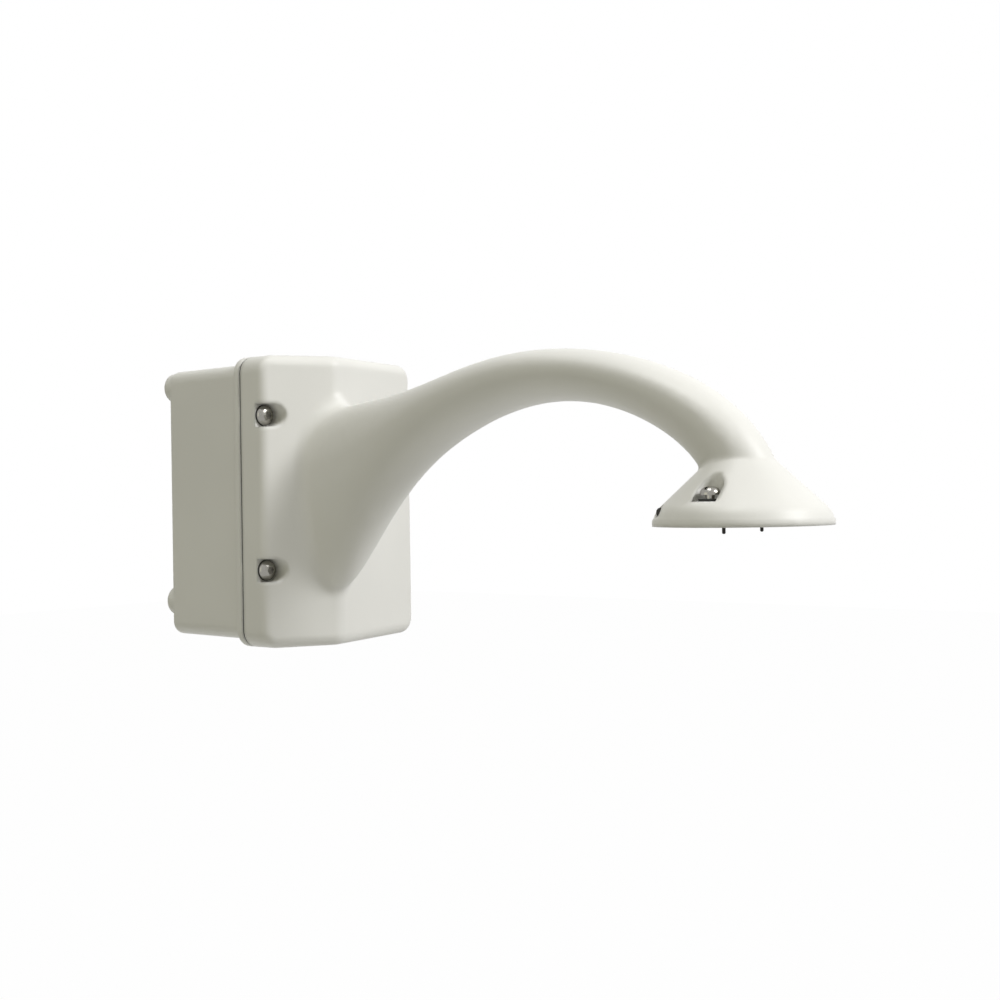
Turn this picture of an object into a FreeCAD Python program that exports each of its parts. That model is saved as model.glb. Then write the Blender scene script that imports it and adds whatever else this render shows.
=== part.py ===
import FreeCAD, Part
import math
import os
from FreeCAD import Vector

# Camera pendant mount: a cast box on the wall, and a hinged casting of cover, arm and bell.
# Millimetres. +Z is up, the front is -Y, +X is the hinge side.
# Origin: the centre of the four wall bolts, on the wall plane.
# "Reach" is the distance in front of the wall plane.

# Wall fixing
bolt_pitch_x = 117.5
bolt_pitch_z = 154.0
bolt_hole_r = 3.6
foot_r = 10.7
foot_height = 5.0
foot_edge_r = 1.2

# Outline that the cover and the rim flange share, seen from the front
outline_width = 149.7
outline_height = 200.0
outline_centre_z = -6.0
outline_corner_r = 12.0

# Box
rim_overhang = 4.6
rim_depth = 7.5
rim_back_r = 3.0
rim_front_r = 1.4
box_front = 87.6
box_wall = 4.5
box_draft = 0.8
box_back_r = 4.0

# Seam and gasket
seam_gap = 1.2
gasket_inset = 1.5
gasket_width = 3.3
gasket_groove = 1.5
gasket_side_gap = 0.2
gasket_face_gap = 0.2
gasket_bay_r = 7.5

# Cover: its face is two slopes that meet in an upright ridge, nearer to the screw side
cover_edge_depth = 21.0
cover_edge_r = 8.0
cover_crown = 25.8
cover_ridge_from_left = 47.7
cover_ridge_r = 14.0
cover_overrun = 3.0
cover_wall = 5.0
cover_inner_edge_r = 4.0

# Cover screws and their pockets, on the left edge only
cover_screw_inset = 7.3
cover_screw_below_top = 41.2
cover_screw_above_bottom = 53.2
cover_screw_shank_r = 3.0
cover_screw_head_r = 6.9
cover_screw_head_h = 4.2
cover_screw_socket_af = 5.0
cover_screw_socket_depth = 2.6
cover_screw_grip = 6.0
cover_screw_clearance = 0.3
cover_screw_swing_clearance = 0.6
cover_washer_r = 7.1
cover_washer_t = 1.2
pocket_r = 7.9
pocket_floor_depth = 14.4
screw_boss_r = 12.0
screw_boss_depth = 18.0
screw_hole_depth = 6.6

# Hinge at the right edge
hinge_axis_outboard = 6.0
hinge_from_end = 40.0
hinge_knuckle_r = 4.8
hinge_ear_length = 14.0
hinge_lug_length = 9.0
hinge_gap = 0.3
hinge_pin_r = 2.5
hinge_pin_clearance = 0.05
hinge_pin_head_r = 4.0
hinge_pin_head_h = 1.6

# Arm: control points of its top line and its underside line. The first value is the share of
# the way from the root to the bell's axis, the second is the height above a straight line from
# the level of the wall bolts at the root to the bell's rim.
arm_root_lift = 12.2
arm_top_points = (
    (0.0, 54.4), (0.089, 61.8), (0.249, 68.7), (0.469, 98.1),
    (0.754, 103.1), (1.003, 75.2), (1.070, 28.3),
)
arm_under_points = (
    (0.0, -66.0), (0.049, -80.9), (0.171, 3.4), (0.467, 63.3),
    (0.733, 73.6), (0.904, 44.3), (0.931, 25.1),
)
arm_half_widths = (23.5, 23.5, 23.0, 20.8, 17.6)
arm_shoulders = (0.31, 0.33, 0.38, 0.41, 0.40)
arm_wall = 4.5
arm_stations = 9
arm_root_blend_r = 12.0

# Bell, about a vertical axis; heights are above its rim
bell_reach = 451.8
bell_rim_z = -22.7
bell_rim_r = 50.7
bell_rim_band = 3.3
bell_shoulder_r = 49.8
bell_shoulder_h = 4.4
bell_cone_r = 45.3
bell_cone_h = 11.6
bell_top_r = 13.2
bell_top_h = 41.7
bell_shoulder_bulge = 0.6
bell_wall = 4.0
bell_neck_blend_r = 4.0

# Bell screws, in recesses on both sides
bell_screw_x = 34.6
bell_shelf_h = 13.9
bell_screw_shank_r = 2.5
bell_screw_clearance = 0.3
bell_screw_head_r = 5.8
bell_screw_head_h = 4.4
bell_screw_lift = 2.2
bell_screw_slot_width = 1.4
bell_screw_slot_depth = 1.6
bell_screw_tip_h = 1.5
bell_washer_r = 6.4
bell_washer_t = 1.4
bell_recess_r = 7.6
bell_boss_wall = 2.2
bell_boss_foot_h = 5.0

# Cross pin at the back of the bell
hook_pin_r = 2.6
hook_pin_back = 34.0
hook_pin_h = 8.0
hook_pin_clearance = 0.25
hook_pin_half_length = 32.2
hook_boss_r = 5.6
hook_boss_length = 8.0

# Connector plate inside the bell
plate_width = 46.0
plate_depth = 46.0
plate_corner_r = 6.0
plate_t = 3.0
plate_h = 9.0
plate_slot_width = 20.0
plate_slot_depth = 8.0
plate_screw_spread = 19.0
plate_screw_r = 1.5
plate_screw_length = 9.0
plate_screw_head_r = 2.8
plate_screw_head_h = 1.8
plate_pillar_r = 3.6
plate_pillar_top_h = 30.0
guide_pin_x = 21.0
guide_pin_r = 1.0
guide_pin_drop = 4.2
connector_width = 28.0
connector_depth = 13.0
connector_height = 8.0
connector_wall = 1.5
connector_cavity = 5.5

# Conduit entries
entry_large_r = 13.2
entry_small_r = 10.6
entry_length = 14.0
entry_collar = 4.5
entry_bottom_reach = 50.0
entry_large_x = -24.0
entry_small_x = 28.0
entry_rear_z = -45.0
plug_length = 11.0
plug_socket_af = 10.0
plug_socket_depth = 7.0

# Board, and what it carries
board_width = 92.0
board_height = 84.0
board_t = 1.6
board_centre_z = 28.0
board_post_r = 3.6
board_post_h = 8.0
board_hole_inset = 5.0
board_screw_r = 1.5
board_screw_length = 8.0
board_screw_head_r = 2.8
board_screw_head_h = 2.0
terminal_depth = 12.0
terminal_height = 10.0
terminal_pitch = 5.08
terminal_well_r = 1.7
terminal_well_depth = 3.0
terminal_wire_r = 1.4
terminal_wire_depth = 6.0
terminal_edge = 4.0
power_ways = 4
power_terminal_x = -20.0
data_ways = 8
data_terminal_x = 17.0
fuse_x = -22.0
fuse_z = 44.0
fuse_r = 2.6
fuse_glass_r = 2.3
fuse_length = 20.0
fuse_cap_length = 5.0
fuse_centre_h = 5.5
fuse_holder_width = 9.0
fuse_holder_base = 2.0
fuse_holder_end = 2.0
fuse_jaw_rise = 1.2

# Earth screw on the back wall
earth_x = 45.0
earth_z = -52.0
earth_boss_r = 5.0
earth_boss_h = 4.0
earth_screw_r = 2.5
earth_screw_length = 6.0
earth_head_r = 4.6
earth_head_h = 3.2
earth_slot_width = 1.2
earth_slot_depth = 1.2

# Places that follow from the sizes above
cover_back = box_front + seam_gap
cover_edge_reach = cover_back + cover_edge_depth
cover_apex_reach = cover_edge_reach + cover_crown
pocket_floor = cover_back + pocket_floor_depth
cover_screw_x = cover_screw_inset - outline_width / 2
arm_x = cover_ridge_from_left - outline_width / 2
arm_root_reach = cover_edge_reach + arm_root_lift
body_width = outline_width - 2 * rim_overhang
body_height = outline_height - 2 * rim_overhang
body_corner_r = outline_corner_r - rim_overhang / 2
body_bottom = outline_centre_z - body_height / 2
back_wall_front = foot_height + box_wall
screw_boss_back = box_front - screw_boss_depth
hinge_axis_x = outline_width / 2 + hinge_axis_outboard
hinge_axis_reach = box_front + seam_gap / 2
hinge_lug_start = hinge_ear_length / 2 + hinge_gap
hinge_half_length = hinge_lug_start + hinge_lug_length
board_back = back_wall_front + board_post_h
board_front = board_back + board_t
bell_boss_r = bell_recess_r + bell_boss_wall
plate_z = bell_rim_z + plate_h

# Domed screw heads: shares of the head's height and radius
head_edge_share = 0.22
head_flat_share = 0.42
head_dome_share_r = 0.78
head_dome_share_h = 0.68

# How far a cutting form runs past what it cuts
cut_over = 1.0


# Plain shapes, placed by reach in front of the wall
def rounded_outline(width, height, corner_r, reach, centre_z):
    """Closed wire: a rectangle with round corners in an upright plane."""
    half_x = width / 2
    half_z = height / 2
    corners = []
    for sx, sz, start in ((1, 1, 0), (-1, 1, 90), (-1, -1, 180), (1, -1, 270)):
        cx = sx * (half_x - corner_r)
        cz = centre_z + sz * (half_z - corner_r)
        arc = []
        for step in (0, 45, 90):
            angle = math.radians(start + step)
            arc.append(Vector(cx + corner_r * math.cos(angle), -reach, cz + corner_r * math.sin(angle)))
        corners.append(arc)
    edges = []
    for index, arc in enumerate(corners):
        following = corners[(index + 1) % len(corners)]
        edges.append(Part.Arc(*arc).toShape())
        edges.append(Part.LineSegment(arc[2], following[0]).toShape())
    return Part.Wire(edges)


def rounded_slab(width, height, corner_r, reach_low, reach_high, centre_z=outline_centre_z):
    """Slab with a rounded-rectangle outline, from one reach to another."""
    face = Part.Face(rounded_outline(width, height, corner_r, reach_low, centre_z))
    return face.extrude(Vector(0, reach_low - reach_high, 0))


def outline_slab(inset, reach_low, reach_high):
    """Slab of the shared outline, drawn in by the inset."""
    return rounded_slab(outline_width - 2 * inset, outline_height - 2 * inset,
                        outline_corner_r - inset, reach_low, reach_high)


def rod_x(radius, x_ends, reach, z):
    low, high = sorted(x_ends)
    return Part.makeCylinder(radius, high - low, Vector(low, -reach, z), Vector(1, 0, 0))


def rod_y(radius, x, z, reach_low, reach_high):
    return Part.makeCylinder(radius, reach_high - reach_low, Vector(x, -reach_low, z), Vector(0, -1, 0))


def rod_z(radius, x, reach, z_low, z_high):
    return Part.makeCylinder(radius, z_high - z_low, Vector(x, -reach, z_low))


def block(x_ends, reach_ends, z_ends):
    x_low, x_high = sorted(x_ends)
    reach_low, reach_high = sorted(reach_ends)
    z_low, z_high = sorted(z_ends)
    corner = Vector(x_low, -reach_high, z_low)
    return Part.makeBox(x_high - x_low, reach_high - reach_low, z_high - z_low, corner)


def hex_prism(across_flats, length, base, direction):
    """Hexagonal prism that starts at base and runs along direction."""
    corner_r = across_flats / math.sqrt(3)
    angles = [math.radians(60 * index) for index in range(7)]
    points = [Vector(corner_r * math.cos(a), corner_r * math.sin(a), 0) for a in angles]
    prism = Part.Face(Part.makePolygon(points)).extrude(Vector(0, 0, length))
    prism.Placement = FreeCAD.Placement(base, FreeCAD.Rotation(Vector(0, 0, 1), direction))
    return prism


def dome_head(radius, height, base, direction):
    """Screw head: flat underside, short straight edge and a domed top with a small flat."""
    edge = head_edge_share * height
    flat_r = head_flat_share * radius
    middle = Vector(head_dome_share_r * radius, 0, edge + head_dome_share_h * (height - edge))
    start = Vector(0, 0, 0)
    rim = Vector(radius, 0, 0)
    rim_top = Vector(radius, 0, edge)
    flat = Vector(flat_r, 0, height)
    centre = Vector(0, 0, height)
    outline = Part.Wire([
        Part.LineSegment(start, rim).toShape(),
        Part.LineSegment(rim, rim_top).toShape(),
        Part.Arc(rim_top, middle, flat).toShape(),
        Part.LineSegment(flat, centre).toShape(),
        Part.LineSegment(centre, start).toShape(),
    ])
    head = Part.Face(outline).revolve(Vector(0, 0, 0), Vector(0, 0, 1), 360)
    head.Placement = FreeCAD.Placement(base, FreeCAD.Rotation(Vector(0, 0, 1), direction))
    return head


def fuse_all(shapes):
    result = shapes[0]
    for shape in shapes[1:]:
        result = result.fuse(shape)
    return result.removeSplitter()


def edges_at_reach(shape, reach, tolerance=0.05):
    """Edges that lie wholly at one reach."""
    found = []
    for edge in shape.Edges:
        box = edge.BoundBox
        if abs(box.YMin + reach) < tolerance and abs(box.YMax + reach) < tolerance:
            found.append(edge)
    return found


# Places of the pieces that repeat
def wall_bolt_places():
    return [(sx * bolt_pitch_x / 2, sz * bolt_pitch_z / 2) for sx in (-1, 1) for sz in (-1, 1)]


def cover_screw_places():
    top = outline_centre_z + outline_height / 2
    bottom = outline_centre_z - outline_height / 2
    return {"upper": (cover_screw_x, top - cover_screw_below_top),
            "lower": (cover_screw_x, bottom + cover_screw_above_bottom)}


def hinge_places():
    spread = outline_height / 2 - hinge_from_end
    return {"upper": outline_centre_z + spread, "lower": outline_centre_z - spread}


def bell_sides():
    return {"left": -1, "right": 1}


def board_hole_places():
    x = board_width / 2 - board_hole_inset
    z = board_height / 2 - board_hole_inset
    return [(sx * x, board_centre_z + sz * z) for sx in (-1, 1) for sz in (-1, 1)]


def plate_screw_reaches():
    return [bell_reach - plate_screw_spread, bell_reach + plate_screw_spread]


# Gasket: a ring along the outline, with a bay inboard of each cover screw
def gasket_ring(extra, reach_low, reach_high):
    """Ring with `extra` added to both sides of the gasket's width."""
    inner_side = gasket_width + extra
    slabs = []
    for inset, bay_r in ((gasket_inset - extra, gasket_bay_r - extra),
                         (gasket_inset + inner_side, gasket_bay_r + inner_side)):
        bays = [rod_y(bay_r, x, z, reach_low - cut_over, reach_high + cut_over)
                for x, z in cover_screw_places().values()]
        slabs.append(outline_slab(inset, reach_low, reach_high).cut(bays))
    return slabs[0].cut(slabs[1])


def make_gasket():
    return gasket_ring(0, box_front - gasket_groove, cover_back - gasket_face_gap)


# Junction box
def tapered_body(inset, reach_low, reach_high):
    """Box body that narrows towards the wall by the casting's draft."""
    width = body_width - 2 * inset
    height = body_height - 2 * inset
    corner_r = body_corner_r - inset / 2
    front = rounded_outline(width, height, corner_r, reach_high, outline_centre_z)
    back = rounded_outline(width - 2 * box_draft, height - 2 * box_draft, corner_r - box_draft / 2,
                           reach_low, outline_centre_z)
    return Part.makeLoft([back, front], True, True)


def make_rim():
    rim = outline_slab(0, box_front - rim_depth, box_front)
    rim = rim.makeFillet(rim_back_r, edges_at_reach(rim, box_front - rim_depth))
    return rim.makeFillet(rim_front_r, edges_at_reach(rim, box_front))


def make_shell():
    body = tapered_body(0, foot_height, box_front - rim_depth / 2)
    body = body.makeFillet(box_back_r, edges_at_reach(body, foot_height))
    inside = tapered_body(box_wall, back_wall_front, box_front + cut_over)
    inside = inside.makeFillet(box_back_r / 2, edges_at_reach(inside, back_wall_front))
    return body.fuse(make_rim()).cut(inside)


def hinge_knuckle(z_low, z_high):
    return rod_z(hinge_knuckle_r, hinge_axis_x, hinge_axis_reach, z_low, z_high)


def box_hinge_lugs():
    """Two lugs round each cover ear, on the side of the rim flange."""
    lugs = []
    for z in hinge_places().values():
        for side in (1, -1):
            ends = sorted((z + side * hinge_lug_start, z + side * hinge_half_length))
            web = block((outline_width / 2 - rim_overhang, hinge_axis_x),
                        (hinge_axis_reach - hinge_knuckle_r, box_front), ends)
            lugs.append(hinge_knuckle(ends[0], ends[1]).fuse(web))
    return lugs


def bottom_entry(radius, x, start, end):
    """Rod on the axis of an entry in the bottom wall; start and end are measured inwards."""
    return rod_z(radius, x, entry_bottom_reach, body_bottom + start, body_bottom + end)


def rear_entry(radius, start, end):
    return rod_y(radius, 0, entry_rear_z, foot_height + start, foot_height + end)


def make_junction_box():
    collar_start = box_wall / 2
    added = [make_shell()]
    for x, z in wall_bolt_places():
        foot = rod_y(foot_r, x, z, 0, back_wall_front)
        added.append(foot.makeFillet(foot_edge_r, edges_at_reach(foot, 0)))
    column_room = rounded_slab(body_width - box_wall, body_height - box_wall, body_corner_r,
                               screw_boss_back, box_front)
    for x, z in cover_screw_places().values():
        added.append(rod_y(screw_boss_r, x, z, screw_boss_back, box_front).common(column_room))
    added.append(bottom_entry(entry_large_r + entry_collar, entry_large_x, collar_start, entry_length))
    added.append(bottom_entry(entry_small_r + entry_collar, entry_small_x, collar_start, entry_length))
    added.append(rear_entry(entry_large_r + entry_collar, collar_start, entry_length))
    for x, z in board_hole_places():
        added.append(rod_y(board_post_r, x, z, back_wall_front - box_wall / 2, board_back))
    earth_top = back_wall_front + earth_boss_h
    added.append(rod_y(earth_boss_r, earth_x, earth_z, back_wall_front - box_wall / 2, earth_top))
    added += box_hinge_lugs()

    holes = []
    for x, z in wall_bolt_places():
        holes.append(rod_y(bolt_hole_r, x, z, -cut_over, back_wall_front + cut_over))
    swing_hole_r = cover_screw_shank_r + cover_screw_swing_clearance
    for x, z in cover_screw_places().values():
        holes.append(rod_y(swing_hole_r, x, z, box_front - screw_hole_depth, box_front + cut_over))
    holes.append(bottom_entry(entry_large_r, entry_large_x, -cut_over, entry_length + cut_over))
    holes.append(bottom_entry(entry_small_r, entry_small_x, -cut_over, entry_length + cut_over))
    holes.append(rear_entry(entry_large_r, -cut_over, entry_length + cut_over))
    for x, z in board_hole_places():
        holes.append(rod_y(board_screw_r, x, z, board_front - board_screw_length, board_back + cut_over))
    holes.append(rod_y(earth_screw_r, earth_x, earth_z, earth_top - earth_screw_length, earth_top + cut_over))
    for z in hinge_places().values():
        holes.append(rod_z(hinge_pin_r, hinge_axis_x, hinge_axis_reach,
                           z - hinge_half_length - cut_over, z + hinge_half_length + cut_over))
    holes.append(gasket_ring(gasket_side_gap, box_front - gasket_groove, box_front + cut_over))
    return fuse_all(added).cut(holes)


# Arm: closed sections between its top line and its underside line
def clamped_curve(poles):
    """Cubic B-spline with evenly spaced knots, from the first control point to the last."""
    count = len(poles)
    knots = [index / (count - 3) for index in range(count - 2)]
    mults = [4] + [1] * (count - 4) + [4]
    curve = Part.BSplineCurve()
    curve.buildFromPolesMultsKnots(poles, mults, knots, False, 3)
    return curve


def arm_line(points):
    span = bell_reach - arm_root_reach
    return clamped_curve([Vector(arm_x, -(arm_root_reach + share * span), share * bell_rim_z + height)
                          for share, height in points])


arm_top_line = arm_line(arm_top_points)
arm_under_line = arm_line(arm_under_points)
arm_width_line = clamped_curve([Vector(w, 0, 0) for w in arm_half_widths])
arm_shoulder_line = clamped_curve([Vector(s, 0, 0) for s in arm_shoulders])


def half_ellipse(centre, side, rise):
    """Half ellipse from centre + side, over centre + rise, to centre - side."""
    root_half = math.sqrt(0.5)
    poles = [centre + side, centre + side + rise, centre + rise, centre - side + rise, centre - side]
    curve = Part.BSplineCurve()
    curve.buildFromPolesMultsKnots(poles, [3, 2, 3], [0.0, 0.5, 1.0], False, 2,
                                   [1.0, root_half, 1.0, root_half, 1.0])
    return curve.toShape()


def arm_section(t, wall):
    """Section at t along the arm: a flat half ellipse on a deep one, drawn in by the wall."""
    top = arm_top_line.value(t)
    chord = arm_under_line.value(t) - top
    height = chord.Length
    down = chord * (1 / height)
    drop = height * arm_shoulder_line.value(t).x
    shoulder = top + down * drop
    side = Vector(arm_width_line.value(t).x - wall, 0, 0)
    upper = half_ellipse(shoulder, side, down * (wall - drop))
    lower = half_ellipse(shoulder, side * -1, down * (height - drop - wall))
    return Part.Wire([upper, lower])


def arm_body(wall, reach_low):
    """The arm, with its first section carried straight back into the cover."""
    wires = [arm_section(index / (arm_stations - 1), wall) for index in range(arm_stations)]
    loft = Part.makeLoft(wires, True, False)
    root = Part.Face(arm_section(0, wall)).extrude(Vector(0, arm_root_reach - reach_low, 0))
    return loft.fuse(root)


# Cover: flat sides, and a face whose two slopes meet in a soft upright ridge
def crowned_prism(face_reach, reach_low):
    """Prism under the cover's face, larger than the outline all round."""
    apex_reach = face_reach + cover_crown
    left_x = -outline_width / 2 - cover_overrun
    right_x = outline_width / 2 + cover_overrun
    left_angle = math.atan(cover_crown / (arm_x + outline_width / 2))
    right_angle = math.atan(cover_crown / (outline_width / 2 - arm_x))
    tangent = cover_ridge_r * math.tan((left_angle + right_angle) / 2)
    lean = (left_angle - right_angle) / 2
    drop = cover_ridge_r * (1 / math.cos((left_angle + right_angle) / 2) - 1)
    bend_left = Vector(arm_x - tangent * math.cos(left_angle),
                       tangent * math.sin(left_angle) - apex_reach, 0)
    bend_right = Vector(arm_x + tangent * math.cos(right_angle),
                        tangent * math.sin(right_angle) - apex_reach, 0)
    ridge = Vector(arm_x + drop * math.sin(lean), drop * math.cos(lean) - apex_reach, 0)
    left = Vector(left_x, (arm_x - left_x) * math.tan(left_angle) - apex_reach, 0)
    right = Vector(right_x, (right_x - arm_x) * math.tan(right_angle) - apex_reach, 0)
    back_left = Vector(left_x, cut_over - reach_low, 0)
    back_right = Vector(right_x, cut_over - reach_low, 0)
    wire = Part.Wire([
        Part.LineSegment(left, bend_left).toShape(),
        Part.Arc(bend_left, ridge, bend_right).toShape(),
        Part.LineSegment(bend_right, right).toShape(),
        Part.LineSegment(right, back_right).toShape(),
        Part.LineSegment(back_right, back_left).toShape(),
        Part.LineSegment(back_left, left).toShape(),
    ])
    height = outline_height + 2 * cover_overrun
    prism = Part.Face(wire).extrude(Vector(0, 0, height))
    prism.translate(Vector(0, 0, outline_centre_z - height / 2))
    return prism


def cover_outline(inset, reach_low):
    """Deep slab of the shared outline, made as a block with its long edges rounded."""
    half_x = outline_width / 2 - inset
    half_z = outline_height / 2 - inset
    slab = block((-half_x, half_x), (reach_low, cover_apex_reach + cut_over),
                 (outline_centre_z - half_z, outline_centre_z + half_z))
    long_edges = [edge for edge in slab.Edges if edge.BoundBox.YLength > cut_over]
    return slab.makeFillet(outline_corner_r - inset, long_edges)


def cover_body(inset, edge_r, reach_low):
    """Cover drawn in by the inset, with its front edges rounded."""
    solid = crowned_prism(cover_edge_reach - inset, reach_low).common(cover_outline(inset, reach_low))
    front_edges = [edge for edge in solid.Edges if edge.BoundBox.YMax < -(reach_low + cut_over)]
    return solid.makeFillet(edge_r, front_edges)


def blend_root(shape):
    """Large concave blend where the arm grows out of the cover's face."""
    limit = outline_width / 2 - cover_edge_r
    found = []
    for edge in shape.Edges:
        box = edge.BoundBox
        inboard = box.XMax < limit and box.XMin > -limit and box.ZLength > cover_edge_r
        on_face = box.YMax < -cover_edge_reach and box.YMin > -cover_apex_reach
        if inboard and on_face:
            found.append(edge)
    return shape.makeFillet(arm_root_blend_r, found)


def cover_hinge_ears():
    ears = []
    for z in hinge_places().values():
        ends = (z - hinge_ear_length / 2, z + hinge_ear_length / 2)
        web = block((outline_width / 2 - cover_wall / 2, hinge_axis_x),
                    (cover_back, hinge_axis_reach + hinge_knuckle_r), ends)
        ears.append(hinge_knuckle(ends[0], ends[1]).fuse(web))
    return ears


def screw_pocket(x, z):
    """Half-round pocket with a flat floor, open to the left."""
    upper = Vector(x, -pocket_floor, z + pocket_r)
    lower = Vector(x, -pocket_floor, z - pocket_r)
    outward = Vector(-2 * pocket_r, 0, 0)
    wire = Part.Wire([
        Part.Arc(upper, Vector(x + pocket_r, -pocket_floor, z), lower).toShape(),
        Part.LineSegment(lower, lower + outward).toShape(),
        Part.LineSegment(lower + outward, upper + outward).toShape(),
        Part.LineSegment(upper + outward, upper).toShape(),
    ])
    return Part.Face(wire).extrude(Vector(0, pocket_floor - cover_apex_reach, 0))


# Bell
def bell_point(radius, height):
    return Vector(arm_x + radius, -bell_reach, bell_rim_z + height)


def bell_body(inset):
    """Turned bell: rim band, round shoulder and straight cone; the inner form runs out of the rim."""
    slant = math.hypot(bell_cone_r - bell_top_r, bell_top_h - bell_cone_h)
    inward_r = -inset * (bell_top_h - bell_cone_h) / slant
    inward_h = -inset * (bell_cone_r - bell_top_r) / slant
    shoulder = bell_point(bell_shoulder_r - inset, bell_shoulder_h + inward_h / 2)
    cone_foot = bell_point(bell_cone_r + inward_r, bell_cone_h + inward_h)
    cone_top = bell_point(bell_top_r + inward_r, bell_top_h + inward_h)
    chord = cone_foot - shoulder
    outward = Vector(chord.z, 0, -chord.x) * (bell_shoulder_bulge / chord.Length)
    middle = (shoulder + cone_foot) * 0.5 + outward
    if inset == 0:
        foot = [bell_point(0, 0), bell_point(bell_rim_r, 0), bell_point(bell_rim_r, bell_rim_band)]
    else:
        foot = [bell_point(0, -cut_over), bell_point(bell_shoulder_r - inset, -cut_over)]
    corners = [bell_point(0, bell_top_h + inward_h)] + foot + [shoulder]
    edges = [Part.LineSegment(a, b).toShape() for a, b in zip(corners, corners[1:])]
    edges.append(Part.Arc(shoulder, middle, cone_foot).toShape())
    edges.append(Part.LineSegment(cone_foot, cone_top).toShape())
    edges.append(Part.LineSegment(cone_top, corners[0]).toShape())
    return Part.Face(Part.Wire(edges)).revolve(bell_point(0, 0), Vector(0, 0, 1), 360)


def blend_neck(shape):
    """Concave blend where the arm meets the bell's cone."""
    reach_limit = bell_top_h
    found = []
    for edge in shape.Edges:
        box = edge.BoundBox
        near = box.YMax < -(bell_reach - reach_limit) and box.YMin > -(bell_reach + reach_limit)
        level = box.ZLength < bell_top_h / 2 and box.ZMin > bell_rim_z + bell_top_h / 2
        if near and level and box.ZMax < bell_rim_z + bell_top_h:
            found.append(edge)
    return shape.makeFillet(bell_neck_blend_r, found)


def bell_recess(side):
    """Upright round recess, open outwards, down to the shelf that the screw bears on."""
    x = arm_x + side * bell_screw_x
    low = bell_rim_z + bell_shelf_h
    high = bell_rim_z + bell_top_h
    open_part = block((x, x + side * 2 * bell_recess_r),
                      (bell_reach - bell_recess_r, bell_reach + bell_recess_r), (low, high))
    return rod_z(bell_recess_r, x, bell_reach, low, high).fuse(open_part)


def bell_inner_forms():
    """Screw bosses, cross pin bosses and plate pillars that stand in the bell's hollow."""
    forms = []
    pin_reach = bell_reach - hook_pin_back
    for side in bell_sides().values():
        forms.append(rod_z(bell_boss_r, arm_x + side * bell_screw_x, bell_reach,
                           bell_rim_z + bell_boss_foot_h, bell_rim_z + bell_top_h))
        ends = (arm_x + side * (hook_pin_half_length - hook_boss_length), arm_x + side * bell_rim_r)
        forms.append(rod_x(hook_boss_r, ends, pin_reach, bell_rim_z + hook_pin_h))
    for reach in plate_screw_reaches():
        forms.append(rod_z(plate_pillar_r, arm_x, reach, plate_z + plate_t, bell_rim_z + plate_pillar_top_h))
    return forms


# Arm casting: cover, arm and bell in one hollow piece
def make_arm_casting():
    shape = cover_body(0, cover_edge_r, cover_back)
    shape = shape.fuse(arm_body(0, pocket_floor)).removeSplitter()
    shape = blend_root(shape)
    shape = shape.fuse(bell_body(0)).removeSplitter()
    shape = blend_neck(shape)
    shape = fuse_all([shape] + cover_hinge_ears())

    kept = bell_inner_forms()
    for x, z in cover_screw_places().values():
        kept.append(rod_y(screw_boss_r, x, z, cover_back - 2 * cut_over, cover_apex_reach))
    hollow = fuse_all([
        cover_body(cover_wall, cover_inner_edge_r, cover_back - cut_over),
        arm_body(arm_wall, pocket_floor),
        bell_body(bell_wall),
    ])
    shape = shape.cut(hollow.cut(kept))

    holes = []
    for x, z in cover_screw_places().values():
        holes.append(screw_pocket(x, z))
        holes.append(rod_y(cover_screw_shank_r + cover_screw_clearance, x, z,
                           cover_back - cut_over, pocket_floor + cut_over))
    for z in hinge_places().values():
        holes.append(rod_z(hinge_pin_r + hinge_pin_clearance, hinge_axis_x, hinge_axis_reach,
                           z - hinge_ear_length, z + hinge_ear_length))
    for side in bell_sides().values():
        holes.append(bell_recess(side))
        holes.append(rod_z(bell_screw_shank_r + bell_screw_clearance, arm_x + side * bell_screw_x, bell_reach,
                           bell_rim_z, bell_rim_z + bell_shelf_h + cut_over))
    holes.append(rod_x(hook_pin_r + hook_pin_clearance, (arm_x - bell_rim_r, arm_x + bell_rim_r),
                       bell_reach - hook_pin_back, bell_rim_z + hook_pin_h))
    for reach in plate_screw_reaches():
        holes.append(rod_z(plate_screw_r, arm_x, reach, plate_z, plate_z + plate_screw_length))
    return shape.cut(holes)


# Fasteners
def make_cover_screw(x, z):
    head_base = pocket_floor + cover_washer_t
    forward = Vector(0, -1, 0)
    head = dome_head(cover_screw_head_r, cover_screw_head_h, Vector(x, -head_base, z), forward)
    shank = rod_y(cover_screw_shank_r, x, z, box_front - cover_screw_grip, head_base)
    socket_base = Vector(x, -(head_base + cover_screw_head_h - cover_screw_socket_depth), z)
    socket = hex_prism(cover_screw_socket_af, cover_screw_head_h, socket_base, forward)
    return head.fuse(shank).cut(socket)


def make_cover_washer(x, z):
    ring = rod_y(cover_washer_r, x, z, pocket_floor, pocket_floor + cover_washer_t)
    hole_r = cover_screw_shank_r + cover_screw_clearance
    return ring.cut(rod_y(hole_r, x, z, pocket_floor - cut_over, pocket_floor + cover_washer_t + cut_over))


def make_bell_screw(side):
    x = arm_x + side * bell_screw_x
    head_base = bell_rim_z + bell_shelf_h + bell_washer_t + bell_screw_lift
    head_top = head_base + bell_screw_head_h
    head = dome_head(bell_screw_head_r, bell_screw_head_h, Vector(x, -bell_reach, head_base), Vector(0, 0, 1))
    shank = rod_z(bell_screw_shank_r, x, bell_reach, bell_rim_z + bell_screw_tip_h, head_base)
    slot = block((x - bell_screw_head_r, x + bell_screw_head_r),
                 (bell_reach - bell_screw_slot_width / 2, bell_reach + bell_screw_slot_width / 2),
                 (head_top - bell_screw_slot_depth, head_top + cut_over))
    return head.fuse(shank).cut(slot)


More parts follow.
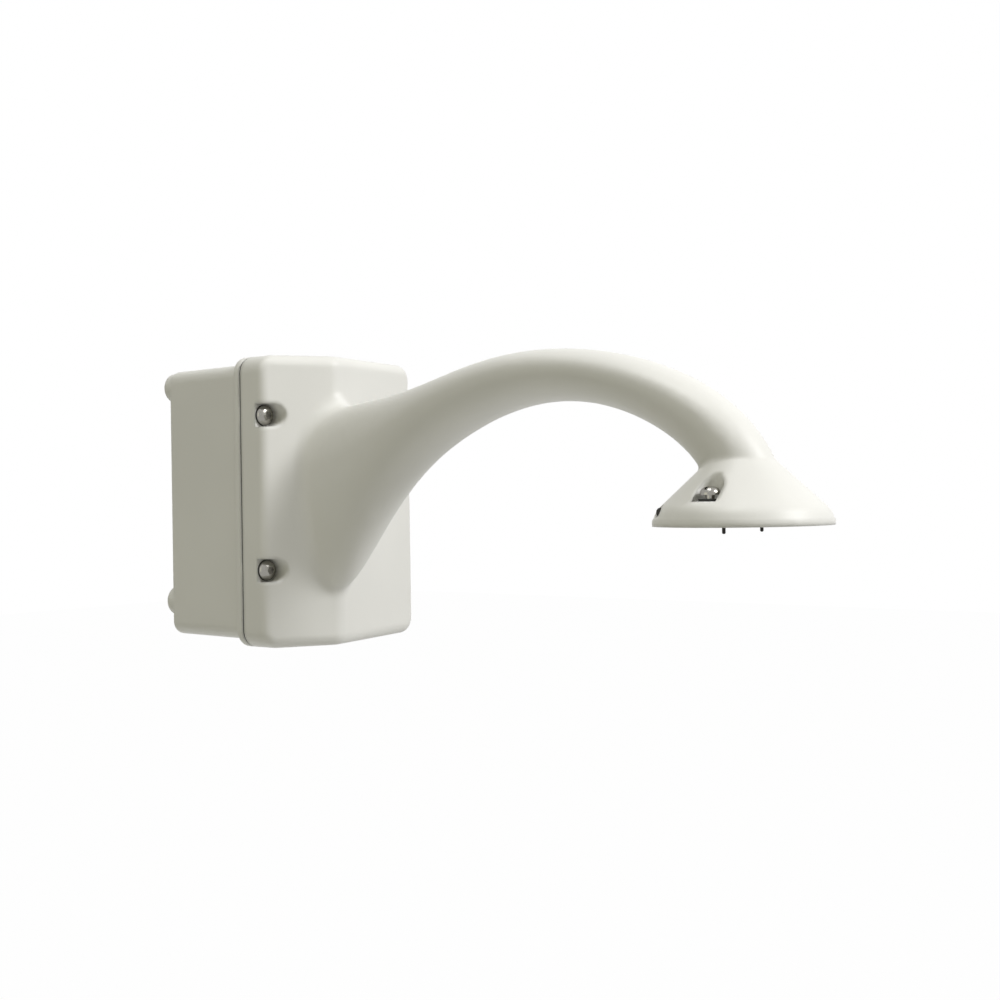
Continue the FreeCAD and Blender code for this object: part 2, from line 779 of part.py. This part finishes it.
def make_bell_washer(side):
    x = arm_x + side * bell_screw_x
    shelf = bell_rim_z + bell_shelf_h
    ring = rod_z(bell_washer_r, x, bell_reach, shelf, shelf + bell_washer_t)
    hole_r = bell_screw_shank_r + bell_screw_clearance
    return ring.cut(rod_z(hole_r, x, bell_reach, shelf - cut_over, shelf + bell_washer_t + cut_over))


def make_hinge_pin(z):
    low = z - hinge_half_length
    high = z + hinge_half_length
    pin = rod_z(hinge_pin_r, hinge_axis_x, hinge_axis_reach, low, high)
    head = dome_head(hinge_pin_head_r, hinge_pin_head_h,
                     Vector(hinge_axis_x, -hinge_axis_reach, high), Vector(0, 0, 1))
    return pin.fuse(head)


def make_hook_pin():
    ends = (arm_x - hook_pin_half_length, arm_x + hook_pin_half_length)
    return rod_x(hook_pin_r, ends, bell_reach - hook_pin_back, bell_rim_z + hook_pin_h)


def make_guide_pin(side):
    x = arm_x + side * guide_pin_x
    tip = bell_rim_z - guide_pin_drop
    pin = rod_z(guide_pin_r, x, bell_reach, tip, plate_z + plate_t)
    tip_edges = [edge for edge in pin.Edges if edge.BoundBox.ZMax < tip + guide_pin_r / 2]
    return pin.makeChamfer(guide_pin_r / 2, tip_edges)


# Connector plate and the connector on it
def make_connector_plate():
    plate = block((arm_x - plate_width / 2, arm_x + plate_width / 2),
                  (bell_reach - plate_depth / 2, bell_reach + plate_depth / 2),
                  (plate_z, plate_z + plate_t))
    upright = [edge for edge in plate.Edges if edge.BoundBox.ZLength > plate_t / 2]
    plate = plate.makeFillet(plate_corner_r, upright)
    holes = []
    for reach in plate_screw_reaches():
        holes.append(rod_z(plate_screw_r, arm_x, reach, plate_z - cut_over, plate_z + plate_t + cut_over))
    for side in bell_sides().values():
        holes.append(rod_z(guide_pin_r, arm_x + side * guide_pin_x, bell_reach,
                           plate_z - cut_over, plate_z + plate_t + cut_over))
    holes.append(block((arm_x - plate_slot_width / 2, arm_x + plate_slot_width / 2),
                       (bell_reach - plate_slot_depth / 2, bell_reach + plate_slot_depth / 2),
                       (plate_z - cut_over, plate_z + plate_t + cut_over)))
    return plate.cut(holes)


def make_pendant_connector():
    low = plate_z - connector_height
    half_width = connector_width / 2
    half_depth = connector_depth / 2
    housing = block((arm_x - half_width, arm_x + half_width), (bell_reach - half_depth, bell_reach + half_depth),
                    (low, plate_z))
    cavity = block((arm_x - half_width + connector_wall, arm_x + half_width - connector_wall),
                   (bell_reach - half_depth + connector_wall, bell_reach + half_depth - connector_wall),
                   (low - cut_over, low + connector_cavity))
    return housing.cut(cavity)


def make_plate_screws():
    screws = []
    for reach in plate_screw_reaches():
        head = dome_head(plate_screw_head_r, plate_screw_head_h, Vector(arm_x, -reach, plate_z),
                         Vector(0, 0, -1))
        screws.append(head.fuse(rod_z(plate_screw_r, arm_x, reach, plate_z, plate_z + plate_screw_length)))
    return Part.makeCompound(screws)


# Conduit plugs
def make_rear_plug():
    plug = rear_entry(entry_large_r, 0, plug_length)
    base = Vector(0, -(foot_height + plug_length - plug_socket_depth), entry_rear_z)
    return plug.cut(hex_prism(plug_socket_af, plug_length, base, Vector(0, -1, 0)))


def make_small_plug():
    plug = bottom_entry(entry_small_r, entry_small_x, 0, plug_length)
    base = Vector(entry_small_x, -entry_bottom_reach, body_bottom + plug_socket_depth)
    return plug.cut(hex_prism(plug_socket_af, plug_length, base, Vector(0, 0, -1)))


# Board
def make_board():
    board = block((-board_width / 2, board_width / 2), (board_back, board_front),
                  (board_centre_z - board_height / 2, board_centre_z + board_height / 2))
    holes = [rod_y(board_screw_r, x, z, board_back - cut_over, board_front + cut_over)
             for x, z in board_hole_places()]
    return board.cut(holes)


def make_board_screws():
    screws = []
    for x, z in board_hole_places():
        head = dome_head(board_screw_head_r, board_screw_head_h, Vector(x, -board_front, z), Vector(0, -1, 0))
        screws.append(head.fuse(rod_y(board_screw_r, x, z, board_front - board_screw_length, board_front)))
    return Part.makeCompound(screws)


def make_terminal(ways, centre_x):
    """Terminal block on the board's lower edge: wire holes below, screw wells in front."""
    half = ways * terminal_pitch / 2
    low = board_centre_z - board_height / 2 + board_hole_inset + board_screw_head_r + terminal_edge
    front = board_front + terminal_height
    housing = block((centre_x - half, centre_x + half), (board_front, front), (low, low + terminal_depth))
    holes = []
    for way in range(ways):
        x = centre_x - half + (way + 0.5) * terminal_pitch
        middle = board_front + terminal_height / 2
        holes.append(rod_z(terminal_wire_r, x, middle, low - cut_over, low + terminal_wire_depth))
        holes.append(rod_y(terminal_well_r, x, low + terminal_depth / 2,
                           front - terminal_well_depth, front + cut_over))
    return housing.cut(holes)


def fuse_parts(radius, half_length):
    reach = board_front + fuse_centre_h
    return rod_z(radius, fuse_x, reach, fuse_z - half_length, fuse_z + half_length)


def make_fuse():
    half = fuse_length / 2
    glass = fuse_parts(fuse_glass_r, half - fuse_cap_length / 2)
    reach = board_front + fuse_centre_h
    lower_cap = rod_z(fuse_r, fuse_x, reach, fuse_z - half, fuse_z - half + fuse_cap_length)
    upper_cap = rod_z(fuse_r, fuse_x, reach, fuse_z + half - fuse_cap_length, fuse_z + half)
    return fuse_all([glass, lower_cap, upper_cap])


def make_fuse_holder():
    """Base with an end wall and a pair of open jaws at each end of the fuse."""
    half_width = fuse_holder_width / 2
    half_length = fuse_length / 2 + fuse_holder_end
    jaw_front = board_front + fuse_centre_h + fuse_jaw_rise
    x_ends = (fuse_x - half_width, fuse_x + half_width)
    base = block(x_ends, (board_front, board_front + fuse_holder_base),
                 (fuse_z - half_length, fuse_z + half_length))
    parts = [base]
    for side in (-1, 1):
        outer = fuse_z + side * half_length
        inner = fuse_z + side * (fuse_length / 2 - fuse_cap_length)
        parts.append(block(x_ends, (board_front, jaw_front), (outer, inner)))
    holder = fuse_all(parts)
    mouth = block((fuse_x - fuse_r, fuse_x + fuse_r), (board_front + fuse_centre_h, jaw_front + cut_over),
                  (fuse_z - fuse_length / 2, fuse_z + fuse_length / 2))
    return holder.cut(fuse_parts(fuse_r, fuse_length / 2).fuse(mouth))


def make_earth_screw():
    top = back_wall_front + earth_boss_h
    head = dome_head(earth_head_r, earth_head_h, Vector(earth_x, -top, earth_z), Vector(0, -1, 0))
    shank = rod_y(earth_screw_r, earth_x, earth_z, top - earth_screw_length, top)
    slot = block((earth_x - earth_head_r, earth_x + earth_head_r),
                 (top + earth_head_h - earth_slot_depth, top + earth_head_h + cut_over),
                 (earth_z - earth_slot_width / 2, earth_z + earth_slot_width / 2))
    return head.fuse(shank).cut(slot)


def all_nodes():
    nodes = {
        "junction_box": make_junction_box(),
        "box_gasket": make_gasket(),
        "arm_casting": make_arm_casting(),
        "hook_pin": make_hook_pin(),
        "connector_plate": make_connector_plate(),
        "pendant_connector": make_pendant_connector(),
        "plate_screws": make_plate_screws(),
        "rear_entry_plug": make_rear_plug(),
        "small_entry_plug": make_small_plug(),
        "interface_board": make_board(),
        "board_screws": make_board_screws(),
        "power_terminal": make_terminal(power_ways, power_terminal_x),
        "data_terminal": make_terminal(data_ways, data_terminal_x),
        "fuse_holder": make_fuse_holder(),
        "fuse": make_fuse(),
        "earth_screw": make_earth_screw(),
    }
    for name, (x, z) in cover_screw_places().items():
        nodes["cover_screw_" + name] = make_cover_screw(x, z)
        nodes["cover_washer_" + name] = make_cover_washer(x, z)
    for name, z in hinge_places().items():
        nodes["hinge_pin_" + name] = make_hinge_pin(z)
    for name, side in bell_sides().items():
        nodes["bell_screw_" + name] = make_bell_screw(side)
        nodes["bell_washer_" + name] = make_bell_washer(side)
        nodes["guide_pin_" + name] = make_guide_pin(side)
    return nodes


os.makedirs("parts", exist_ok=True)
for node_name, node_shape in all_nodes().items():
    node_shape.exportStep(os.path.join("parts", node_name + ".step"))
    print(node_name, "valid" if node_shape.isValid() else "NOT VALID", len(node_shape.Solids), "solid",
          round(node_shape.Volume / 1000, 2), "cm3")
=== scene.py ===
import math

import bpy
import mathutils
import numpy as np
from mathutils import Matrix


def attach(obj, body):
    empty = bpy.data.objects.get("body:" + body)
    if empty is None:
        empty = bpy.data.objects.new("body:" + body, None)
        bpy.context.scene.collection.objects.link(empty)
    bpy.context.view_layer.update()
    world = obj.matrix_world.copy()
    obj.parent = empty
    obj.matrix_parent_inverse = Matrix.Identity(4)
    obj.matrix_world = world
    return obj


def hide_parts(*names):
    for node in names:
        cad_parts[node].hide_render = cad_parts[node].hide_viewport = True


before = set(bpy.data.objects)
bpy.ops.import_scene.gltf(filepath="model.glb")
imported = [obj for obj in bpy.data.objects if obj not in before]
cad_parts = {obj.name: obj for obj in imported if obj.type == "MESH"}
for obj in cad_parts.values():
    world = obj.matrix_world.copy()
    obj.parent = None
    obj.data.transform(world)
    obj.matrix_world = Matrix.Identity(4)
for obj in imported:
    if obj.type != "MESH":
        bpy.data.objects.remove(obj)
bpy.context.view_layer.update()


# Junction box
# Cast aluminium box on the wall, powder coated in a pale warm grey.
# A rim flange closes its front, and four round feet hold it off the wall.
coat_colour = (0.812, 0.806, 0.782)
coat_roughness = 0.46
coat_grain_size = 0.0007
coat_grain_depth = 0.000012
coat_drift_size = 0.12
coat_edge_softness = 0.004
coat_edge_samples = 6
coat_gloss_change = 0.08
coat_deep_share = 0.975
coat_pale_share = 1.015
flat_face_area = 0.00004


class Shade:
    """A socket of a material; + and * with numbers or other sockets add Math nodes to its tree."""

    def __init__(self, tree, socket):
        self.tree = tree
        self.socket = socket

    def node(self, kind, settings=None, values=None, out=0):
        """Add a shader node, set its settings, then fill or link its sockets, and give one output."""
        made = self.tree.nodes.new("ShaderNode" + kind)
        for name, value in (settings or {}).items():
            setattr(made, name, value)
        for name, value in (values or {}).items():
            if isinstance(value, Shade):
                self.tree.links.new(value.socket, made.inputs[name])
            else:
                made.inputs[name].default_value = value
        return Shade(self.tree, made.outputs[out])

    def math(self, operation, *others):
        values = {place: value for place, value in enumerate((self,) + others)}
        return self.node("Math", {"operation": operation}, values)

    def __add__(self, other):
        return self.math("ADD", other)

    __radd__ = __add__

    def __mul__(self, other):
        return self.math("MULTIPLY", other)

    __rmul__ = __mul__

    def step(self, low, high):
        """0 below low and 1 above high, with a smooth rise between them."""
        settings = {"interpolation_type": "SMOOTHSTEP"}
        return self.node("MapRange", settings, {"Value": self, "From Min": low, "From Max": high})

    def blend(self, first, second):
        """The first colour where this is 0 and the second where it is 1."""
        values = {"Factor": self, 6: first, 7: second}
        return self.node("Mix", {"data_type": "RGBA"}, values, out=2)


def start_material(name, colour, roughness, metallic=0.0):
    """A material, its shader's Object coordinates as a Shade, and the shader to plug values into."""
    material = bpy.data.materials.new(name)
    material.use_nodes = True
    tree = material.node_tree
    shader = tree.nodes["Principled BSDF"]
    shader.inputs["Base Color"].default_value = tuple(colour) + (1.0,)
    shader.inputs["Roughness"].default_value = roughness
    shader.inputs["Metallic"].default_value = metallic
    place = Shade(tree, tree.nodes.new("ShaderNodeTexCoord").outputs["Object"])
    return material, place, shader


def plug(shader, **links):
    """Link Shades to the sockets of the shader; an underscore stands for a space."""
    for name, value in links.items():
        value.tree.links.new(value.socket, shader.inputs[name.replace("_", " ")])


def noise(place, size, detail=2.0):
    """Soft noise from 0 to 1 whose lumps are about one size across, in metres."""
    return place.node("TexNoise", {}, {"Vector": place, "Scale": 1 / size, "Detail": detail})


def bump(height, depth, base=None):
    """Surface normal of a height from 0 to 1 that is depth metres deep, on the base normal if given."""
    values = {"Height": height, "Distance": depth, "Strength": 1.0}
    if base:
        values["Normal"] = base
    return height.node("Bump", {}, values)


def powder_coat(name, colour, roughness=coat_roughness):
    """Sprayed and baked powder: fine orange peel, and a faint drift in tone and gloss."""
    material, place, shader = start_material(name, colour, roughness)
    drift = noise(place, coat_drift_size)
    deep = tuple(coat_deep_share * part for part in colour) + (1.0,)
    pale = tuple(min(1.0, coat_pale_share * part) for part in colour) + (1.0,)
    grain = noise(place, coat_grain_size, detail=3.0)
    soft_edge = place.node("Bevel", {"samples": coat_edge_samples}, {"Radius": coat_edge_softness})
    plug(shader, Base_Color=drift.step(0.35, 0.65).blend(deep, pale),
         Roughness=grain * coat_gloss_change + (roughness - coat_gloss_change / 2),
         Normal=bump(grain, coat_grain_depth, soft_edge))
    return material


def lowest_labels(count, first, second):
    """Give each of count items the lowest number among the items it is linked to, link by link."""
    label = np.arange(count)
    while True:
        before = label.copy()
        low = np.minimum(label[first], label[second])
        np.minimum.at(label, first, low)
        np.minimum.at(label, second, low)
        label = label[label]
        if np.array_equal(before, label):
            return label


def shade_like_cad(mesh, crease_deg, flat_area):
    """Set the normals of a triangle mesh as its exact surfaces would have them.

    Corners that meet at a vertex without a crease between them share one normal. It is the mean of
    their triangles, weighted by area, but where one of them lies in a flat face of more than
    flat_area, the flat face alone gives the normal.
    """
    count = len(mesh.polygons)
    corner_vertex = np.empty(3 * count, np.int32)
    mesh.loops.foreach_get("vertex_index", corner_vertex)
    places = np.empty(3 * len(mesh.vertices))
    mesh.vertices.foreach_get("co", places)
    tri = corner_vertex.reshape(-1, 3)
    points = places.reshape(-1, 3)[tri]
    cross = np.cross(points[:, 1] - points[:, 0], points[:, 2] - points[:, 0])
    double_area = np.maximum(np.linalg.norm(cross, axis=1), 1e-15)
    normal = cross / double_area[:, None]

    start = corner_vertex.astype(np.int64)
    end = np.roll(tri, -1, axis=1).ravel().astype(np.int64)
    key = np.minimum(start, end) * len(mesh.vertices) + np.maximum(start, end)
    order = np.argsort(key, kind="stable")
    twin = np.nonzero(key[order][:-1] == key[order][1:])[0]
    one, two = order[twin], order[twin + 1]
    closeness = np.sum(normal[one // 3] * normal[two // 3], axis=1)

    flat_link = closeness > 0.999995
    region = lowest_labels(count, one[flat_link] // 3, two[flat_link] // 3)
    region_area = np.bincount(region, double_area / 2, count)
    in_flat = region_area[region] > flat_area

    smooth_link = closeness > math.cos(math.radians(crease_deg))
    one, two = one[smooth_link], two[smooth_link]
    after_one = one // 3 * 3 + (one + 1) % 3
    after_two = two // 3 * 3 + (two + 1) % 3
    fan = lowest_labels(3 * count, np.concatenate((one, after_one)), np.concatenate((after_two, two)))

    weight = double_area * np.where(in_flat, 1.0, 1e-6)
    total = np.zeros((3 * count, 3))
    np.add.at(total, fan, np.repeat(normal * weight[:, None], 3, axis=0))
    shared = total[fan]
    shared /= np.maximum(np.linalg.norm(shared, axis=1), 1e-30)[:, None]
    mesh.normals_split_custom_set([tuple(row) for row in shared])


def smooth_copy(node, crease_deg=30.0):
    """A node's surface with its loose triangles merged, shaded smooth except at creases."""
    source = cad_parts[node]
    mesh = source.data.copy()
    piece = bpy.data.objects.new(node + "_surface", mesh)
    bpy.context.scene.collection.objects.link(piece)
    weld = piece.modifiers.new("weld", "WELD")
    weld.merge_threshold = 1e-6
    bpy.context.view_layer.update()
    welded = bpy.data.meshes.new_from_object(piece.evaluated_get(bpy.context.evaluated_depsgraph_get()))
    piece.modifiers.clear()
    piece.data = welded
    welded.name = node + "_surface"
    welded.polygons.foreach_set("use_smooth", np.ones(len(welded.polygons), bool))
    shade_like_cad(welded, crease_deg, flat_face_area)
    return piece


def dress(node, material, body, crease_deg=30.0):
    """A smooth copy stands for the node, in the material, on the node's body."""
    piece = smooth_copy(node, crease_deg)
    piece.data.materials.clear()
    piece.data.materials.append(material)
    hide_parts(node)
    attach(piece, body)
    return piece


box_coat = powder_coat("box_powder_coat", coat_colour)
dress("junction_box", box_coat, "box")


# Gasket
# Black rubber ring in the seam between box and cover, pressed into a groove of the flange.
# Its black lip fills the front of the seam: the gasket's rubber, and also painted shade for the dark
# gap.
rubber_colour = (0.02, 0.02, 0.019)
rubber_grain_size = 0.0015
rubber_grain_depth = 0.00002


def rubber(name, colour):
    """Matt black rubber with a faint bloom."""
    material, place, shader = start_material(name, colour, 0.75)
    bloom = noise(place, rubber_grain_size)
    plug(shader, Roughness=bloom * 0.2 + 0.65, Normal=bump(bloom, rubber_grain_depth))
    return material


gasket_rubber = rubber("gasket_rubber", rubber_colour)
dress("box_gasket", gasket_rubber, "box")

# The lip is a black strip across the seam, painted shade for the gap as much as the gasket itself.
lip_half_width = 0.07485
lip_half_height = 0.1
lip_centre_z = -0.006
lip_corner_r = 0.012
lip_outer_inset = 0.0004
lip_inner_inset = 0.0016
lip_back_y = -0.08765
lip_front_y = -0.08872
lip_corner_steps = 12


def rounded_loop(inset, depth):
    """Points round the outline, inset and at one depth: four quarter circles, joined by straights."""
    quarter = np.linspace(0.0, np.pi / 2, lip_corner_steps + 1)
    turn = np.concatenate([quarter + k * np.pi / 2 for k in range(4)])
    side = np.repeat(np.arange(4), lip_corner_steps + 1)
    across = np.where((side == 0) | (side == 3), 1.0, -1.0) * (lip_half_width - lip_corner_r)
    along = np.where(side < 2, 1.0, -1.0) * (lip_half_height - lip_corner_r)
    r = lip_corner_r - inset
    x = across + r * np.cos(turn)
    z = along + r * np.sin(turn) + lip_centre_z
    return np.stack((x, np.full_like(x, depth), z), axis=1)


def seam_lip_painted_shade():
    """The gasket strip in the seam, also painted shade of the gap: a four-sided section carried round
    the outline.
    """
    section = ((lip_outer_inset, lip_back_y), (lip_outer_inset, lip_front_y),
               (lip_inner_inset, lip_front_y), (lip_inner_inset, lip_back_y))
    points = np.stack([rounded_loop(inset, depth) for inset, depth in section])
    count = points.shape[1]
    row, step = np.meshgrid(np.arange(4), np.arange(count), indexing="ij")
    next_row, next_step = (row + 1) % 4, (step + 1) % count
    corners = (row * count + step, row * count + next_step,
               next_row * count + next_step, next_row * count + step)
    faces = np.stack([corner.ravel() for corner in corners], axis=1)
    mesh = bpy.data.meshes.new("seam_lip_painted_shade")
    mesh.from_pydata(points.reshape(-1, 3).tolist(), [], faces.tolist())
    piece = bpy.data.objects.new("seam_lip_painted_shade", mesh)
    bpy.context.scene.collection.objects.link(piece)
    mesh.materials.append(gasket_rubber)
    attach(piece, "box")


seam_lip_painted_shade()


# Arm casting
# Cover, arm and bell are one hollow aluminium casting, in the same powder coat as the box.
# It hangs on the hinges at the right edge of the box.
arm_crease_deg = 52.0

arm_coat = powder_coat("arm_powder_coat", coat_colour)
dress("arm_casting", arm_coat, "arm", crease_deg=arm_crease_deg)


# Cover screws and bell screws
# Polished stainless screws with domed heads. The cover's have hex sockets and the bell's a slot.
steel_colour = (0.3, 0.29, 0.265)
steel_grain_size = 0.0012
steel_grain_depth = 0.000008
steel_gloss_change = 0.16


def polished_steel(name, colour, roughness):
    """Turned and polished stainless, with faint handling marks."""
    material, place, shader = start_material(name, colour, roughness, metallic=1.0)
    marks = noise(place, steel_grain_size, detail=4.0)
    plug(shader, Roughness=marks * steel_gloss_change + (roughness - 0.06),
         Normal=bump(marks, steel_grain_depth))
    return material


screw_steel = polished_steel("screw_stainless", steel_colour, 0.22)
for side in ("upper", "lower"):
    dress("cover_screw_" + side, screw_steel, "arm")
for side in ("left", "right"):
    dress("bell_screw_" + side, screw_steel, "arm")


# Washers
# Moulded black rubber washers under the heads of the captive screws.
# Each lies flat between its screw's head and the casting.
washer_rubber = rubber("washer_rubber", rubber_colour)
for name in ("cover_washer_upper", "cover_washer_lower", "bell_washer_left", "bell_washer_right"):
    dress(name, washer_rubber, "arm")


# Pins
# The hinge pins are turned stainless steel, one through each hinge. The cross pin of the bell
# and the two guide pins under its rim are near-black steel.
pin_steel = polished_steel("pin_stainless", (0.5, 0.49, 0.47), 0.32)
for name in ("hinge_pin_upper", "hinge_pin_lower"):
    dress(name, pin_steel, "box")
black_pin_steel = polished_steel("pin_near_black", (0.035, 0.034, 0.032), 0.42)
for name in ("hook_pin", "guide_pin_left", "guide_pin_right"):
    dress(name, black_pin_steel, "arm")


# Connector plate, its screws and the connector
# A stainless plate inside the bell, held by two zinc-plated screws.
# It carries the moulded black connector that the camera plugs into.
plate_steel = polished_steel("plate_stainless", (0.52, 0.51, 0.49), 0.36)
dress("connector_plate", plate_steel, "arm")
zinc_colour = (0.55, 0.52, 0.45)
dress("plate_screws", polished_steel("zinc_steel", zinc_colour, 0.34), "arm")


plastic_grain_size = 0.0004
plastic_grain_depth = 0.00001


def moulded(name, colour, roughness=0.5):
    """Moulded plastic with a fine spark-eroded grain."""
    material, place, shader = start_material(name, colour, roughness)
    grain = noise(place, plastic_grain_size, detail=3.0)
    plug(shader, Roughness=grain * 0.12 + (roughness - 0.06), Normal=bump(grain, plastic_grain_depth))
    return material


black_plastic = moulded("black_plastic", (0.025, 0.025, 0.026))
dress("pendant_connector", black_plastic, "arm")


# Entry plugs
# Moulded grey plastic plugs close the two conduit entries that aren't in use.
# Each has a hex socket and is turned in with a key.
plug_plastic = moulded("plug_plastic", (0.36, 0.36, 0.35))
for name in ("rear_entry_plug", "small_entry_plug"):
    dress(name, plug_plastic, "box")


# Interface board and what it carries
# A green lacquered board on four screws, with two green terminals and a black fuse holder.
# The brass earth screw of the casting stands beside it.
board_green = moulded("board_green", (0.02, 0.16, 0.07), 0.35)
dress("interface_board", board_green, "box")
dress("board_screws", polished_steel("board_zinc", zinc_colour, 0.34), "box")
terminal_green = moulded("terminal_green", (0.03, 0.3, 0.09), 0.42)
for name in ("power_terminal", "data_terminal"):
    dress(name, terminal_green, "box")
dress("fuse_holder", black_plastic, "box")
dress("fuse", polished_steel("fuse_caps", (0.6, 0.58, 0.52), 0.25), "box")
dress("earth_screw", polished_steel("earth_brass", (0.6, 0.42, 0.16), 0.3), "box")


# Floor and room
# A pale floor well below the wall mount, in an even white room.
floor_height = -1.1
floor_half = 12.0
floor_tone = 0.86
floor_shadow_share = 0.012
room_light = 0.15
room_colour = (1.0, 0.98, 0.7)


def white_for_view(tree):
    """1 for rays that show the background, seen straight, in a reflection or through glass."""
    path = tree.nodes.new("ShaderNodeLightPath")
    seen = [Shade(tree, path.outputs[name]) for name in
            ("Is Camera Ray", "Is Glossy Ray", "Is Transmission Ray")]
    return seen[0].math("MAXIMUM", seen[1]).math("MAXIMUM", seen[2])


def make_floor():
    """Flat square; seen by the camera it is nearly white, with the object's shadow kept."""
    mesh = bpy.data.meshes.new("floor")
    corners = [(sx * floor_half, sy * floor_half, floor_height)
               for sx, sy in ((-1, -1), (1, -1), (1, 1), (-1, 1))]
    mesh.from_pydata(corners, [], [(0, 1, 2, 3)])
    floor = bpy.data.objects.new("floor", mesh)
    bpy.context.scene.collection.objects.link(floor)
    material, place, shader = start_material("floor_white", (floor_tone,) * 3, 0.9)
    tree = material.node_tree
    glow = place.node("Emission", {}, {"Color": (1.0, 1.0, 1.0, 1.0), "Strength": 1.0})
    share = white_for_view(tree) * (1 - floor_shadow_share)
    mixed = place.node("MixShader", {}, {0: share, 1: Shade(tree, shader.outputs[0]), 2: glow})
    tree.links.new(mixed.socket, tree.nodes["Material Output"].inputs["Surface"])
    mesh.materials.append(material)


def make_room():
    """Even light from all round, white wherever it is seen."""
    world = bpy.data.worlds.new("room")
    world.use_nodes = True
    bpy.context.scene.world = world
    tree = world.node_tree
    light = tree.nodes["Background"]
    light.inputs["Color"].default_value = room_colour + (1.0,)
    light.inputs["Strength"].default_value = room_light
    white = Shade(tree, light.outputs[0]).node(
        "Background", {}, {"Color": (1.0, 1.0, 1.0, 1.0), "Strength": 1.0})
    dim = Shade(tree, light.outputs[0])
    mixed = white.node("MixShader", {}, {0: white_for_view(tree), 1: dim, 2: white})
    tree.links.new(mixed.socket, tree.nodes["World Output"].inputs["Surface"])


def set_pose(thing, right, up, back, place):
    """Put a lamp or the camera at place, with its own axes along right, up and back."""
    rows = [[right[i], up[i], back[i], place[i]] for i in range(3)]
    thing.matrix_world = mathutils.Matrix(rows + [[0.0, 0.0, 0.0, 1.0]])


def soft_light(name, place, aim, size, watts, colour=(1.0, 1.0, 1.0)):
    """Square soft box at place, turned to aim, both in metres."""
    data = bpy.data.lights.new(name, "AREA")
    data.size = size
    data.energy = watts
    data.color = colour
    lamp = bpy.data.objects.new(name, data)
    bpy.context.scene.collection.objects.link(lamp)
    place = np.array(place)
    back = place - np.array(aim)
    back = back / np.linalg.norm(back)
    side = np.cross((0.0, 0.0, 1.0), back)
    side = side / np.linalg.norm(side)
    up = np.cross(back, side)
    set_pose(lamp, side, up, back, place)


make_floor()
make_room()
object_middle = (0.0, -0.22, 0.0)
soft_light("key", (0.66, -2.5, 1.6), object_middle, 0.9, 57.0)
soft_light("top", (-0.45, -0.45, 1.75), object_middle, 0.6, 13.0)
soft_light("side", (-2.4, 0.4, 0.4), object_middle, 1.6, 5.0, room_colour)


# Camera
# Set where the photograph was taken: nearly level, to the left of the arm, and a little
# over a metre from the box.
camera_place = (-0.78131, -0.88716, -0.00134)
camera_heading_deg = 50.788
camera_pitch_deg = -0.298
camera_roll_deg = -0.925
camera_lens = 55.323
camera_shift = (0.00694, -0.01685)

heading = math.radians(camera_heading_deg)
pitch = math.radians(camera_pitch_deg)
roll = math.radians(camera_roll_deg)
ahead = np.array((math.sin(heading) * math.cos(pitch), math.cos(heading) * math.cos(pitch),
                  -math.sin(pitch)))
level = np.array((math.cos(heading), -math.sin(heading), 0.0))
upright = np.cross(level, ahead)
right = math.cos(roll) * level + math.sin(roll) * upright
top = -math.sin(roll) * level + math.cos(roll) * upright
camera_data = bpy.data.cameras.new("camera")
camera_data.lens = camera_lens
camera_data.sensor_width = 36.0
camera_data.shift_x, camera_data.shift_y = camera_shift
camera = bpy.data.objects.new("camera", camera_data)
bpy.context.scene.collection.objects.link(camera)
set_pose(camera, right, top, -ahead, camera_place)
bpy.context.scene.camera = camera
bpy.context.scene.view_settings.view_transform = "Standard"
